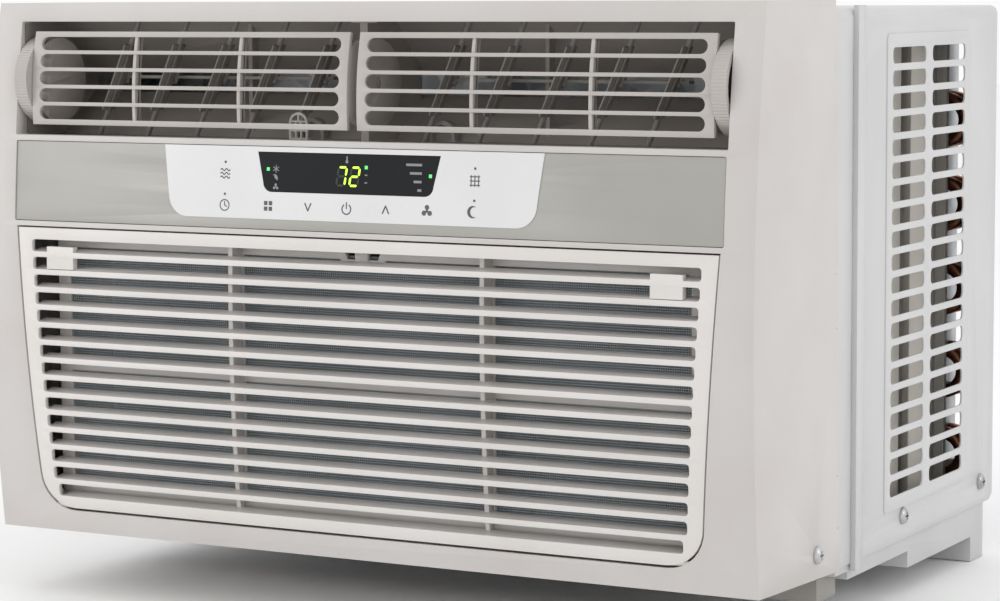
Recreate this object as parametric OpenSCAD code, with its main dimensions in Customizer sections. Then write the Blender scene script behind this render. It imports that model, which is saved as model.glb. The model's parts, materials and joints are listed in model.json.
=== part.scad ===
/* [Overall] */
// Width over the front bezel
unit_w = 470; // [460:1:490]
// Depth from the bulge of the front to the rear edge of the cabinet
unit_d = 367; // [360:1:380]
// Height from the rear feet to the top of the bezel
unit_h = 335; // [330:1:345]
// Width over the painted steel cabinet
cabinet_w = 464; // [456:1:466]
// Thickness of the cabinet sheet
sheet = 1; // [0.8:0.1:1.2]

/* [Front] */
// Height of the bezel's lower front edge above the rear feet
bezel_z = 37.4; // [36:0.1:40]
// Radius of the front's vertical bulge
bulge_r = 1000; // [900:10:1400]
// Height at which the front bulges furthest
bulge_z = 162.4; // [150:0.1:175]
// Wall thickness of the moulded bezel
bezel_wall = 2.8; // [2.4:0.1:3.2]
// Half width of the discharge opening
mouth_hw = 218.8; // [216:0.1:220]
// Lower edge of the discharge opening
mouth_z0 = 261.6; // [260:0.1:263]
// Upper edge of the discharge opening
mouth_z1 = 324.7; // [322:0.1:326]
// Lower edge of the control band
band_z0 = 213.6; // [212:0.1:214.5]
// Upper edge of the control band
band_z1 = 258.5; // [257:0.1:259]
// Half width of the control band
band_hw = 218.1; // [216:0.1:219]

/* [Intake grille] */
// Half width of the intake opening at its top
intake_hw_top = 216.5; // [214:0.1:218]
// Half width of the intake opening near its foot
intake_hw_bottom = 206.5; // [203:0.1:210]
// Upper edge of the intake opening
intake_z1 = 210.8; // [209:0.1:211.2]
// Lower edge of the intake opening
intake_z0 = 49.6; // [48:0.1:51]
// Radius of the lower corners of the intake opening
intake_r = 22; // [18:1:26]
// Number of bars in the grille
bars = 14; // [12:1:14]
// Distance from one bar to the next
bar_pitch = 9.91; // [9.8:0.01:9.95]
// Height of a bar's front face
bar_h = 3; // [2.5:0.1:3.5]

/* [Louvre barrels] */
// Distance of the barrels' axis from the centre of the unit, towards the room
barrel_y = 155.5; // [154:0.1:157]
// Height of the barrels' axis
barrel_z = 291.8; // [291:0.1:292.5]
// Radius of the knurled thumb wheels
wheel_r = 24.5; // [23:0.1:25]
// Height of a barrel's front frame
barrel_h = 52; // [50:0.5:52]
// Number of swing vanes behind each barrel
vanes = 5; // [5:1:5]
// Lean of the vanes from the vertical
vane_lean = 24; // [20:1:26]

/* [Fan] */
// Sideways position of the fan shaft
fan_x = 45; // [40:1:50]
// Height of the fan shaft
fan_z = 170; // [165:1:175]
// Radius of the indoor blower wheel
blower_r = 78; // [70:1:82]
// Radius of the outdoor fan over its slinger ring
slinger_r = 115; // [105:1:116]
// Radius of the motor shaft
shaft_r = 5; // [4:0.5:6]

/* [Hidden] */
$fn = 48;
eps = 0.01;
front = -unit_d/2;
rear = unit_d/2;
hw = unit_w/2;
cab = cabinet_w/2;
cab_top = unit_h - 4.7;
cab_z0 = 33.2;
cab_front = -86;
bezel_rear_top = -79;
bezel_rear_bottom = -69;
barrel_x0 = 3;
barrel_x1 = 209.5;
vane_pitch = 33;
vane_y = -143;
vane_names = ["vane_left_1", "vane_left_2", "vane_left_3", "vane_left_4", "vane_left_5",
              "vane_right_1", "vane_right_2", "vane_right_3", "vane_right_4", "vane_right_5"];
// Each key: name, sideways position, height
key_z_low = 225.6;
key_z_high = 243.7;
keys = [["key_timer", -77, key_z_low], ["key_clean_air", -77, key_z_high], ["key_mode", -49, key_z_low],
        ["key_down", -24, key_z_low], ["key_power", 0, key_z_low], ["key_up", 24, key_z_low],
        ["key_fan_speed", 49, key_z_low], ["key_filter_reset", 77, key_z_high], ["key_sleep", 77, key_z_low]];
board_y = -168;
board_t = 1.6;
pan_hw = 230.6;
pan_t = 2.5;
pan_rim = 56;
floor_front = 41;
floor_mid = 24.4;
floor_rear = 14.9;
evap_x = [-166, 200];
evap_y = [-158, -132];
evap_z = [47, 205];
cond_x = [-205, 208];
cond_y = [150, 178];
cond_z = [20.5, 322];
bulkhead_y = -57;
compressor_at = [-150, 30];
compressor_r = 52;
side_screws = [[-100.8, 47.4], [31.65, 46.8], [160.75, 46.8]];
gland_at = [-200, -110];
drain_at = [0, 105];

// ---- shared shapes ----

// Front surface of the unit at height z
function front_y(z) = front + pow(z - bulge_z, 2)/(2*bulge_r);

function arc(cx, cy, r, a0, a1, n) =
    [for (i = [0:n]) let (a = a0 + (a1 - a0)*i/n) [cx + r*cos(a), cy + r*sin(a)]];

// Rectangle with round corners, as points
function round_rect(x0, x1, z0, z1, r, n = 4) =
    concat(arc(x1 - r, z1 - r, r, 0, 90, n), arc(x0 + r, z1 - r, r, 90, 180, n),
           arc(x0 + r, z0 + r, r, 180, 270, n), arc(x1 - r, z0 + r, r, 270, 360, n));

// Outline with square top corners, tapered sides and round lower corners
function tapered(top_hw, bottom_hw, z0, z1, r, n = 8) =
    concat([[-top_hw, z1]], arc(r - bottom_hw, z0 + r, r, 180, 270, n),
           arc(bottom_hw - r, z0 + r, r, 270, 360, n), [[top_hw, z1]]);

// Extrudes a side view, drawn as (y, z), across the width
module across(x0, x1) {
    translate([x0, 0, 0]) rotate([90, 0, 90]) linear_extrude(x1 - x0) children();
}

// Extrudes a front view, drawn as (x, z), from y0 back to y1
module along(y0, y1) {
    translate([0, y1, 0]) rotate([90, 0, 0]) linear_extrude(y1 - y0) children();
}

// A block given by its limits
module block(x, y, z) {
    translate([x[0], y[0], z[0]]) cube([x[1] - x[0], y[1] - y[0], z[1] - z[0]]);
}

// A round bar along Y
module rod_y(x, z, y0, y1, r) {
    translate([x, y1, z]) rotate([90, 0, 0]) cylinder(r = r, h = y1 - y0);
}

// A round bar along X
module rod_x(y, z, x0, x1, r) {
    translate([x0, y, z]) rotate([0, 90, 0]) cylinder(r = r, h = x1 - x0);
}

// Both sides of the unit
module both_sides() {
    children();
    mirror([1, 0, 0]) children();
}

// Layer that follows the front surface, from depth d0 to depth d1 behind it
function layer_points(z0, z1, d0, d1) =
    let (n = ceil((z1 - z0)/12))
    concat([for (i = [0:n]) let (z = z0 + (z1 - z0)*i/n) [front_y(z) + d0, z]],
           [for (i = [n:-1:0]) let (z = z0 + (z1 - z0)*i/n) [front_y(z) + d1, z]]);

module layer(x0, x1, z0, z1, d0, d1) {
    across(x0, x1) polygon(layer_points(z0, z1, d0, d1));
}

// ---- front ----

module bezel_shape(inset, y_extra) {
    z0 = bezel_z + inset;
    z1 = unit_h - inset;
    n = 24;
    across(inset - hw, hw - inset)
        polygon(concat([for (i = [0:n]) let (z = z0 + (z1 - z0)*i/n) [front_y(z) + inset, z]],
                       [[bezel_rear_top + y_extra, z1], [bezel_rear_bottom + y_extra, z0 - 4]]));
}

module intake_outline(gap, foot_gap) {
    polygon(tapered(intake_hw_top - gap, intake_hw_bottom - gap, intake_z0 + foot_gap,
                    intake_z1 - gap, intake_r - gap));
}

// Side view of a wall that starts inside the front skin and ends at depth y1
function return_points(z0, z1, y1) =
    concat([for (i = [0:6]) let (z = z0 + (z1 - z0)*i/6) [front_y(z) + 1, z]], [[y1, z1], [y1, z0]]);

// Sideways position of the uprights of the grille and of the filter
rib_x = 78;
hinge_y = -175;
hinge_z = 52.4;
hinge_r = 1.5;

module front_bezel() color("whitesmoke") {
    snap_z = [[298.1, 302.2], [270.3, 274], [192.2, 195.4], [163.5, 167.2], [84.8, 88.5], [56.7, 60]];
    difference() {
        union() {
            difference() {
                bezel_shape(0, 0);
                bezel_shape(bezel_wall, 1);
            }
            // ledges above and below the control band
            layer(-hw + 1, hw - 1, band_z1 - 1, mouth_z0 + 1, 0.5, 9);
            layer(-hw + 1, hw - 1, intake_z1 - 1, band_z0 + 1, 0.5, 9);
            // return walls of the discharge opening
            both_sides() across(mouth_hw - 1, mouth_hw + 2)
                polygon(return_points(mouth_z0 - 2, mouth_z1 + 2, -168));
            block([-mouth_hw, mouth_hw], [front_y(mouth_z1) + 1, -162], [mouth_z1 - 1, mouth_z1 + 2]);
            // hinge bosses for the grille
            both_sides() block([196.2, 203], [hinge_y - 1.5, hinge_y + 4], [hinge_z - 4, hinge_z + 4]);
        }
        along(front - 5, -150) polygon(round_rect(-mouth_hw, mouth_hw, mouth_z0, mouth_z1, 1));
        along(front - 5, -150) polygon(round_rect(-band_hw, band_hw, band_z0, band_z1, 1));
        along(front - 5, -150) intake_outline(0, 0);
        both_sides() rod_x(hinge_y, hinge_z, 190, 201, hinge_r + 0.06);
        both_sides() for (z = snap_z)
            block([hw - 4, hw + 1], [bezel_rear_top - 2.3 + (302 - z[0])*0.0335, -60], z);
        both_sides() rod_x(side_screws[0][0], side_screws[0][1], hw - 6, hw + 1, 2.2);
        translate([gland_at[0], gland_at[1], 20]) cylinder(r = 7.3, h = 30);
    }
}

// Half width of the grille's openings at height z
function grille_hw(z) =
    let (slope = (intake_hw_top - intake_hw_bottom)/(intake_z1 - intake_z0 - intake_r),
         straight = intake_hw_bottom + slope*max(0, z - intake_z0 - intake_r),
         dip = max(0, intake_z0 + intake_r - z))
    straight - 9.5 - (intake_r - sqrt(intake_r*intake_r - dip*dip));

module intake_grille() color("gainsboro") {
    rib_hw = 1.3;
    rib_step = (intake_z1 - intake_z0 - 6)/12;
    rib_back = -166.2;
    slot_z0 = intake_z1 - 14.4;
    slot_h = bar_pitch - bar_h;
    inner = 2;
    difference() {
        union() {
            intersection() {
                layer(-hw, hw, intake_z0, intake_z1, 0.3, 3);
                along(front - 1, -160) intake_outline(1, 1.4);
            }
            // return flange round the edge
            intersection() {
                layer(-hw, hw, intake_z0, intake_z1, 0.5, 10);
                along(front - 1, -160) difference() {
                    intake_outline(1, 1.4);
                    intake_outline(1 + inner, 1.4 + inner);
                }
            }
        }
        for (k = [0:bars]) {
            z0 = slot_z0 - k*bar_pitch;
            x1 = grille_hw(z0 + slot_h/2);
            along(front - 1, -160) polygon(round_rect(-x1, x1, z0, z0 + slot_h, 1.8, 3));
        }
    }
    // sloping bars behind the front face
    for (k = [0:bars]) {
        z = slot_z0 - k*bar_pitch;
        y = front_y(z - bar_h/2);
        across(-grille_hw(z) - 1, grille_hw(z) + 1)
            polygon([[y + 1.2, z - 0.02], [y + 9, z + 1.6], [y + 9, z - 0.4], [y + 2.6, z - 2.2],
                [y + 1.2, z - 2.2]]);
    }
    // uprights that tie the bars' rear edges
    for (x = [-rib_x, rib_x]) across(x - rib_hw, x + rib_hw) polygon(concat(
        [for (i = [0:12]) let (z = intake_z0 + 3 + i*rib_step) [front_y(z) + 7.8, z]],
        [[rib_back, intake_z0 + 3 + 12*rib_step], [rib_back, intake_z0 + 3]]));
    // latch pads
    both_sides() layer(178, 196, slot_z0 - bar_pitch + 0.4, slot_z0 + 3, 0.4, 4.5);
    // hinge pins
    both_sides() rod_x(hinge_y, hinge_z, 187, 200, hinge_r);
}

filter_y = [-165.2, -161.8];
filter_z = [55, 206];
filter_hw = 201;

module filter_frame() color("gainsboro") {
    rib_z = 130.6;
    rim = 8;
    difference() {
        along(filter_y[0], filter_y[1]) difference() {
            polygon(round_rect(-filter_hw, filter_hw, filter_z[0], filter_z[1], 6));
            difference() {
                polygon(round_rect(rim - filter_hw, filter_hw - rim,
                                   filter_z[0] + rim, filter_z[1] - rim, 3));
                for (x = [-rib_x, rib_x]) translate([x - 1.6, 0]) square([3.2, 300]);
                translate([-300, rib_z - 2.4]) square([600, 4.8]);
            }
            // notch round the pull tab
            polygon([[-13, filter_z[1] + 1], [13, filter_z[1] + 1],
                     [9, filter_z[1] - 9], [-9, filter_z[1] - 9]]);
        }
        // groove that holds the mesh
        block([rim - 2 - filter_hw, filter_hw - rim + 2], [-163.2, -162.4],
              [filter_z[0] + rim - 2, filter_z[1] - rim + 2]);
    }
    // bar under the notch and the tab that stands in it
    along(filter_y[0], -163.6) translate([-14, filter_z[1] - 12]) square([28, 4]);
    along(filter_y[0] - 1.5, -163.6) polygon(round_rect(-4, 4, filter_z[1] - 10, filter_z[1] + 1, 2));
}

module filter_mesh() color("slategray") {
    rim = 6.1;
    block([rim - filter_hw, filter_hw - rim], [-163.15, -162.45], [filter_z[0] + rim, filter_z[1] - rim]);
}

window_points = tapered(56, 52.3, 234.3, 255.1, 5, 5);

module overlay_outline() {
    polygon(tapered(117, 113.5, 219.4, band_z1 - 0.4, 12));
}

module control_panel() color("silver") {
    difference() {
        layer(0.4 - band_hw, band_hw - 0.4, band_z0 + 0.3, band_z1 - 0.3, 0.6, 3.4);
        along(front - 1, -160) offset(delta = 0.3) polygon(window_points);
        for (k = keys) along(front - 1, -160)
            polygon(round_rect(k[1] - 7.4, k[1] + 7.4, k[2] - 3.9, k[2] + 3.9, 0.7));
    }
}

module control_overlay() color("white") {
    difference() {
        intersection() {
            layer(-120, 120, band_z0, band_z1, 0.15, 0.5);
            along(front - 1, -160) overlay_outline();
        }
        along(front - 1, -160) offset(delta = 0.3) polygon(window_points);
    }
}

module display_window() color("dimgray") {
    intersection() {
        layer(-60, 60, band_z0, band_z1, 0.1, 2.6);
        along(front - 1, -160) polygon(window_points);
    }
}

module led_display() color("darkgreen") {
    block([-47, 47], [-176, board_y], [236.5, 253]);
}

module control_board() color("seagreen") {
    difference() {
        block([-105, 105], [board_y, board_y + board_t], [216.5, 255.5]);
        for (x = [-98, 98]) rod_y(x, 236, board_y - 1, board_y + board_t + 1, 1.7);
    }
    // tact switches behind the keys
    for (k = keys) block([k[1] - 3, k[1] + 3], [board_y - 1.6, board_y + eps], [k[2] - 3, k[2] + 3]);
}

module key(k) color("lightgray") {
    layer(k[1] - 7, k[1] + 7, k[2] - 3.5, k[2] + 3.5, 0.7, 2.4);
    rod_y(k[1], k[2], front_y(k[2]) + 1.5, board_y - 2.1, 1.8);
}

module control_box() color("darkgray") {
    box_x = 112;
    box_y = [board_y + board_t, -126];
    box_z = [214.4, 256];
    difference() {
        block([-box_x, box_x], box_y, box_z);
        block([2 - box_x, box_x - 2], [box_y[0] - 1, box_y[1] - 2], [box_z[0] + 2, box_z[1] - 2]);
    }
    // posts for the circuit board
    for (x = [-98, 98]) difference() {
        rod_y(x, 236, box_y[0], box_y[1] - 1, 4);
        rod_y(x, 236, box_y[0] - 1, box_y[0] + 12, 1.4);
    }
}

module capacitor() color("lightsteelblue") {
    y = -145;
    z = 230.5;
    rod_x(y, z, 20, 82, 14);
    for (dy = [-4, 4]) rod_x(y + dy, z, 82 - eps, 89, 1.6);
}

// ---- louvre barrels ----

// How far the barrels lean at rest, so that they follow the front skin
rest_lean = -5;
barrel_reach = 19;

module barrel_section(back, depth) {
    r = 160;
    a = asin(barrel_h/2/r);
    cy = r - barrel_reach - barrel_y;
    polygon(concat(arc(cy, barrel_z, r - back, 180 - a, 180 + a, 10),
                   arc(cy, barrel_z, r - depth, 180 + a, 180 - a, 10)));
}

// Part of a disc about the barrels' axis, cut off at the front
module cheek(x0, x1) {
    across(x0, x1) intersection() {
        translate([-barrel_y, barrel_z]) circle(r = 23.5);
        translate([1.6 - barrel_reach - barrel_y, barrel_z - 30]) square([60, 60]);
    }
}

module louver_barrel() color("tan") {
    slot_h = 7.6;
    pitch = 9.6;
    span = barrel_x1 - barrel_x0;
    translate([0, -barrel_y, barrel_z]) rotate([rest_lean, 0, 0]) translate([0, barrel_y, -barrel_z]) {
        difference() {
            union() {
                across(barrel_x0, barrel_x1) barrel_section(0, 2.6);
                cheek(barrel_x0, barrel_x0 + 2.5);
                cheek(barrel_x1 - 5.5, barrel_x1 - 3.5);
            }
            for (i = [-2:2]) along(-190, -166) translate([barrel_x0 + 5, barrel_z + i*pitch - slot_h/2])
                polygon(round_rect(0, span - 10, 0, slot_h, slot_h/2 - 0.01, 6));
            rod_x(-barrel_y, barrel_z, barrel_x0 - 1, barrel_x0 + 4, 3.06);
        }
        // uprights that tie the bars
        for (i = [1, 2]) across(barrel_x0 + i*span/3 - 1, barrel_x0 + i*span/3 + 1) barrel_section(0.6, 6);
    }
}

module thumb_wheel() color("tan") {
    teeth = 84;
    knurl = 0.45;
    points = [for (i = [0:2*teeth - 1]) let (a = 180*i/teeth, r = wheel_r - (i % 2)*knurl)
              [r*cos(a) - barrel_y, r*sin(a) + barrel_z]];
    across(barrel_x1 + 0.4, 218) difference() {
        polygon(points);
        translate([-barrel_y, barrel_z]) circle(r = wheel_r - 3);
    }
    // web, and the boss that meets the barrel's cheek
    rod_x(-barrel_y, barrel_z, barrel_x1 + 0.4, 213, wheel_r - 2);
    rod_x(-barrel_y, barrel_z, barrel_x1 - 3.5, barrel_x1 + 1, 9);
    // stub axle
    rod_x(-barrel_y, barrel_z, 212, 224, 4);
}

// ---- swing vanes ----

function vane_x(side, i) = side*(barrel_x0 + barrel_x1)/2 + (i - (vanes - 1)/2)*vane_pitch;

module lean(x) {
    translate([x, vane_y, barrel_z + 1.5]) rotate([0, vane_lean, 0]) children();
}

vane_span = 40;
pin_r = 1.5;
crank_r = 9.5;

module vane(x) color("dimgray") {
    lean(x) {
        translate([0, 0, -vane_span/2]) linear_extrude(vane_span)
            polygon([[-0.4, -6], [0.4, -6], [0.9, -3], [0.9, 3],
                     [0.4, 6], [-0.4, 6], [-0.9, 3], [-0.9, -3]]);
        translate([0, 0, -38.5]) cylinder(r = pin_r, h = 75);
        // crank pin for the link bar
        translate([0, crank_r, -4]) cylinder(r = 1, h = 8);
        for (z = [-4, 2.8]) translate([-0.4, 4, z]) cube([0.8, crank_r - 4, 1.2]);
    }
}

module vane_link(side) color("gray") {
    x0 = vane_x(side, 0) - 6;
    x1 = vane_x(side, vanes - 1) + 6;
    y = vane_y + crank_r;
    difference() {
        block([x0, x1], [y - 3.2, y + 3.2], [barrel_z + 0.7, barrel_z + 2.3]);
        for (i = [0:vanes - 1]) lean(vane_x(side, i))
            translate([-1.7, crank_r - 2.2, -6]) cube([3.4, 3.7, 12]);
    }
}

// ---- discharge duct ----

duct_floor = 260.4;
duct_roof = 325.2;
pocket_x = [-48, 34];

// Arch standing on the duct floor
function arch_points(x, half, top) =
    concat([[x - half, duct_floor - 1]], arc(x, top - half, half, 180, 0, 8), [[x + half, duct_floor - 1]]);

module air_duct() color("rosybrown") {
    side = 219.6;
    y0 = -161.5;
    y1 = -98;
    difference() {
        union() {
            // side walls
            both_sides() block([side, side + 2.6], [-166.4, y1], [duct_floor - 3, duct_roof + 2.6]);
            // floor that rises to the outlet slot
            across(-side - eps, side + eps) polygon([[-167.5, duct_floor - 3], [-167.5, duct_floor],
                [-134, duct_floor], [-102, 283.5], [y1, 283.5], [y1, 280.5], [-101, 280.5],
                [-130, duct_floor - 3]]);
            // roof that falls to the outlet slot
            across(-side - eps, side + eps) polygon([[y0, duct_roof + 2.6], [y0, duct_roof],
                [-132, duct_roof], [-104, 297], [y1, 297], [y1, duct_roof + 2.6]]);
            // centre post, its foot inside the rising floor, with the barrels' inner pivots
            across(-2.3, 2.3) polygon([[y0, duct_floor - 1], [-132, duct_floor - 1], [-104, 280.1],
                [-104, duct_roof + 1], [y0, duct_roof + 1]]);
            rod_x(-barrel_y, barrel_z, -5.2, 5.2, 3);
            block([-8, 8], [-167, -160], [duct_floor - 1, duct_floor + 0.4]);
            block([-8, 8], [-161.4, -150], [duct_roof - 1.4, duct_roof + 1]);
            // slender struts
            both_sides() block([91.8, 94.2], [-129.5, -123], [duct_floor + 2.8, duct_roof + 1]);
            // arched pockets on the floor, one for the air-cleaning emitter and one blank
            for (x = pocket_x) along(-139, -133.5) polygon(arch_points(x, 8, 272));
        }
        both_sides() rod_x(-barrel_y, barrel_z, side - 1, side + 4, 4.06);
        // sockets for the vane pins
        for (s = [-1, 1], i = [0:vanes - 1]) lean(vane_x(s, i))
            translate([0, 0, -42]) cylinder(r = pin_r + 0.08, h = 84);
        // mouths of the pockets
        for (x = pocket_x) along(-140, -134.5) polygon(arch_points(x, 6, 269.5));
    }
}

module ionizer_guard() color("linen") {
    x = pocket_x[0];
    y = [-152, -150.4];
    bar = 1;
    along(y[0], y[1]) difference() {
        intersection() {
            polygon(arch_points(x, 6, 275.5));
            translate([x - 10, duct_floor + eps]) square([20, 20]);
        }
        polygon(concat([[x - 4.6, 258]], arc(x, 269.5, 4.6, 180, 0, 8), [[x + 4.6, 258]]));
    }
    for (z = [265, 270]) along(y[0], y[1]) translate([x - 5.5, z]) square([11, bar]);
    for (dx = [-2.2, 1.2]) along(y[0], y[1]) translate([x + dx, 261]) square([bar, 9.5]);
    along(y[0], y[1]) translate([x - bar/2, 270]) square([bar, 5]);
    // foot that stands on the duct floor
    block([x - 6, x + 6], [y[0], -146], [duct_floor + eps, duct_floor + 1.2]);
}

// ---- chassis ----

module plan_round(inset, r) {
    translate([0, 0, -1]) linear_extrude(70)
        polygon(concat([[pan_hw - inset, -165 + inset]],
                       arc(pan_hw - r, rear - 0.3 - r, r - inset, 0, 90, 8),
                       arc(r - pan_hw, rear - 0.3 - r, r - inset, 90, 180, 8),
                       [[inset - pan_hw, -165 + inset]]));
}

module base_pan() color("lightgray") {
    r = 14;
    foot_y = 149.7;
    difference() {
        intersection() {
            union() {
                across(-pan_hw, pan_hw) polygon([[-165, floor_front], [-65, floor_front], [-65, 29],
                    [-47, 29], [-47, floor_mid], [44, floor_mid], [44, floor_rear], [rear, floor_rear],
                    [rear, pan_rim], [-165, pan_rim]]);
                both_sides() across(160, pan_hw) polygon(concat([[foot_y, floor_rear + 5], [foot_y, 0]],
                    arc(rear - 10.3, 10, 10, 270, 360, 6), [[rear - 0.3, floor_rear + 5]]));
            }
            plan_round(0, r);
        }
        // tray
        intersection() {
            across(pan_t - pan_hw, pan_hw - pan_t) polygon([[-162.5, floor_front + pan_t],
                [-62.5, floor_front + pan_t], [-62.5, 29 + pan_t], [-44.5, 29 + pan_t],
                [-44.5, floor_mid + pan_t], [46.5, floor_mid + pan_t], [46.5, floor_rear + pan_t],
                [rear - 3, floor_rear + pan_t], [rear - 3, 80], [-162.5, 80]]);
            plan_round(pan_t, r);
        }
        // rebate that the cabinet's rear flange drops into
        block([-hw, hw], [rear - 2, rear + 1], [cab_z0 - 0.2, 80]);
        // low front, so that air reaches the coil
        block([-206, 206], [-170, -162], [48, 80]);
        both_sides() for (s = side_screws) rod_x(s[0], s[1], pan_hw - 4, pan_hw + 1, 1.95);
        // hollow of each rear foot
        both_sides() block([166, 220], [foot_y + 4, rear - 8], [-1, 9]);
        // drain hole, and the hole for the cord gland
        translate([drain_at[0], drain_at[1], 0]) cylinder(r = 6, h = 20);
        translate([gland_at[0], gland_at[1], 30]) cylinder(r = 7.3, h = 20);
    }
}

module cabinet() color("white") {
    rows = 20;
    row_pitch = 12.62;
    row_h = 8.8;
    top_row_z1 = 308.5;
    corner = 5;
    emboss = 0.7;
    columns = [[10, 61.5], [72, 126]];
    difference() {
        union() {
            // top and sides
            along(cab_front, rear) difference() {
                polygon(concat(arc(cab - corner, cab_top - corner, corner, 0, 90, 5),
                               arc(corner - cab, cab_top - corner, corner, 90, 180, 5),
                               [[-cab, cab_z0], [cab, cab_z0]]));
                polygon(concat(arc(cab - corner, cab_top - corner, corner - sheet, 0, 90, 5),
                               arc(corner - cab, cab_top - corner, corner - sheet, 90, 180, 5),
                               [[sheet - cab, cab_z0 - 1], [cab - sheet, cab_z0 - 1]]));
            }
            // rear flange round the condenser
            along(rear - sheet, rear) difference() {
                polygon([[sheet/2 - cab, cab_z0], [cab - sheet/2, cab_z0], [cab - sheet/2, cab_top - 3],
                    [sheet/2 - cab, cab_top - 3]]);
                polygon([[22 - cab, cab_z0 + 15], [cab - 16, cab_z0 + 15], [cab - 16, cab_top - 12],
                    [22 - cab, cab_top - 12]]);
            }
            // raised field round the louvres
            both_sides() across(cab - eps, cab + emboss) polygon(round_rect(2, 134, 52, 316, 3));
        }
        both_sides() across(cab - sheet - 1, cab - sheet + emboss) polygon(round_rect(3, 133, 53, 315, 2));
        // louvres in both sides
        for (c = columns, i = [0:rows - 1]) let (z1 = top_row_z1 - i*row_pitch)
            across(-cab - 2, cab + 2) polygon(round_rect(c[0], c[1], z1 - row_h, z1, 3, 3));
        // slits behind the side rails
        for (z = [[272.8, 296.4], [164.6, 189.7], [57, 81.3]]) across(-cab - 2, cab + 2)
            polygon(round_rect(-36, -34.4, z[0], z[1], 0.7, 3));
        both_sides() for (s = [side_screws[1], side_screws[2]]) rod_x(s[0], s[1], cab - 3, cab + 2, 2.2);
        // clearance over the bezel's floor
        block([-cab - 2, cab + 2], [cab_front - 1, -66], [cab_z0 - 1, 38]);
        // cut lower rear corners
        across(-cab - 2, cab + 2)
            polygon([[rear - 7, cab_z0 - 1], [rear + 1, cab_z0 - 1], [rear + 1, cab_z0 + 4]]);
    }
}

module side_rails() color("white") {
    z = [29.5, cab_top + 1.6];
    y = [-46.5, -40];
    both_sides() difference() {
        union() {
            block([cab, cab + 3], y, z);
            block([cab, cab + 0.8], [y[1] - eps, -30.5], z);
        }
        block([cab - 1, cab + 2], [y[0] + 1, y[1] - 1], [z[0] - 1, z[1] + 1]);
        for (s = [[272.8, 296.4], [164.6, 189.7], [57, 81.3]])
            across(cab - 2, cab + 2) polygon(round_rect(-36, -34.4, s[0], s[1], 0.7, 3));
    }
}

module front_sill() color("darkgray") {
    // folded steel sill under the front of the pan
    difference() {
        block([-225, 225], [-76.6, -50], [16.4, 29]);
        block([-223.5, 223.5], [-75.1, -49], [17.9, 40]);
    }
}

// ---- refrigeration ----

module coil_bends(x, dir, ys, zs, pitch, r) {
    for (y = ys, z = zs) translate([x, y, z]) rotate([90, 0, 0]) rotate([0, 0, dir > 0 ? -90 : 90])
        rotate_extrude(angle = 180) translate([pitch/2, 0]) circle(r = r, $fn = 24);
}

module coil_block(x, y, z, plate) {
    block(x, y, z);
    for (px = [[x[0] - plate, x[0]], [x[1], x[1] + plate]])
        block(px, [y[0] - 2, y[1] + 2], [z[0] - 3, z[1] + 3]);
}

module evaporator_fins() color("silver") {
    coil_block(evap_x, evap_y, evap_z, 1.5);
}

module evaporator_tubes() color("peru") {
    pitch = 25;
    for (side = [-1, 1]) {
        x = side < 0 ? evap_x[0] - 1.5 : evap_x[1] + 1.5;
        shift = side < 0 ? 0 : pitch/2;
        coil_bends(x, side, [evap_y[0] + 7, evap_y[1] - 7],
                   [for (i = [0:2]) evap_z[0] + 22 + shift + 2*i*pitch], pitch, 4);
    }
}

module condenser_fins() color("silver") {
    coil_block(cond_x, cond_y, cond_z, 1.5);
}

module condenser_tubes() color("peru") {
    pitch = 25;
    for (side = [-1, 1]) {
        x = side < 0 ? cond_x[0] - 1.5 : cond_x[1] + 1.5;
        shift = side < 0 ? 0 : pitch/2;
        coil_bends(x, side, [cond_y[0] + 7, cond_y[1] - 7],
                   [for (i = [0:4]) cond_z[0] + 30 + shift + 2*i*pitch], pitch, 4);
    }
}

module blower_scroll() color("gainsboro") {
    y0 = -124;
    y1 = -62;
    outer = [[fan_x - 96, 43.6], [fan_x + 100, 43.6], [fan_x + 100, 256], [fan_x - 96, 256]];
    difference() {
        along(y0, y1) polygon(outer);
        // spiral chamber, open at the top
        along(y0 + 2, y1 - 2) {
            for (s = [0:7]) translate([fan_x + 1, fan_z]) rotate(45*s)
                intersection() {
                    circle(r = blower_r + 6 + s*1.2);
                    square(200);
                }
            translate([fan_x - 94, fan_z]) square([192, 120]);
        }
        rod_y(fan_x, fan_z, y0 - 1, y0 + 3, blower_r - 16);
        rod_y(fan_x, fan_z, y1 - 3, y1 + 1, 14);
    }
}

module blower_wheel() color("lightgray") {
    y0 = -118;
    y1 = -70;
    blades = 30;
    difference() {
        rod_y(fan_x, fan_z, y1 - 3, y1, blower_r);
        rod_y(fan_x, fan_z, y1 - 4, y1 + 1, shaft_r);
    }
    difference() {
        rod_y(fan_x, fan_z, y1 - 20, y1 - 3 + eps, 13);
        rod_y(fan_x, fan_z, y1 - 21, y1, shaft_r);
    }
    difference() {
        rod_y(fan_x, fan_z, y0, y0 + 3, blower_r);
        rod_y(fan_x, fan_z, y0 - 1, y0 + 4, blower_r - 12);
    }
    for (i = [0:blades - 1]) translate([fan_x, 0, fan_z]) rotate([0, i*360/blades, 0])
        translate([blower_r - 6, 0, 0]) rotate([0, 35, 0])
            block([-5.2, 5.2], [y0 + 2.9, y1 - 2.9], [-0.6, 0.6]);
}

module motor_shaft() color("silver") {
    rod_y(fan_x, fan_z, -94, 142, shaft_r);
}

module fan_motor() color("slategray") {
    difference() {
        union() {
            rod_y(fan_x, fan_z, -44, 12, 46);
            rod_y(fan_x, fan_z, -50, 18, 17);
        }
        rod_y(fan_x, fan_z, -51, 19, shaft_r + 0.06);
    }
}

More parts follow.
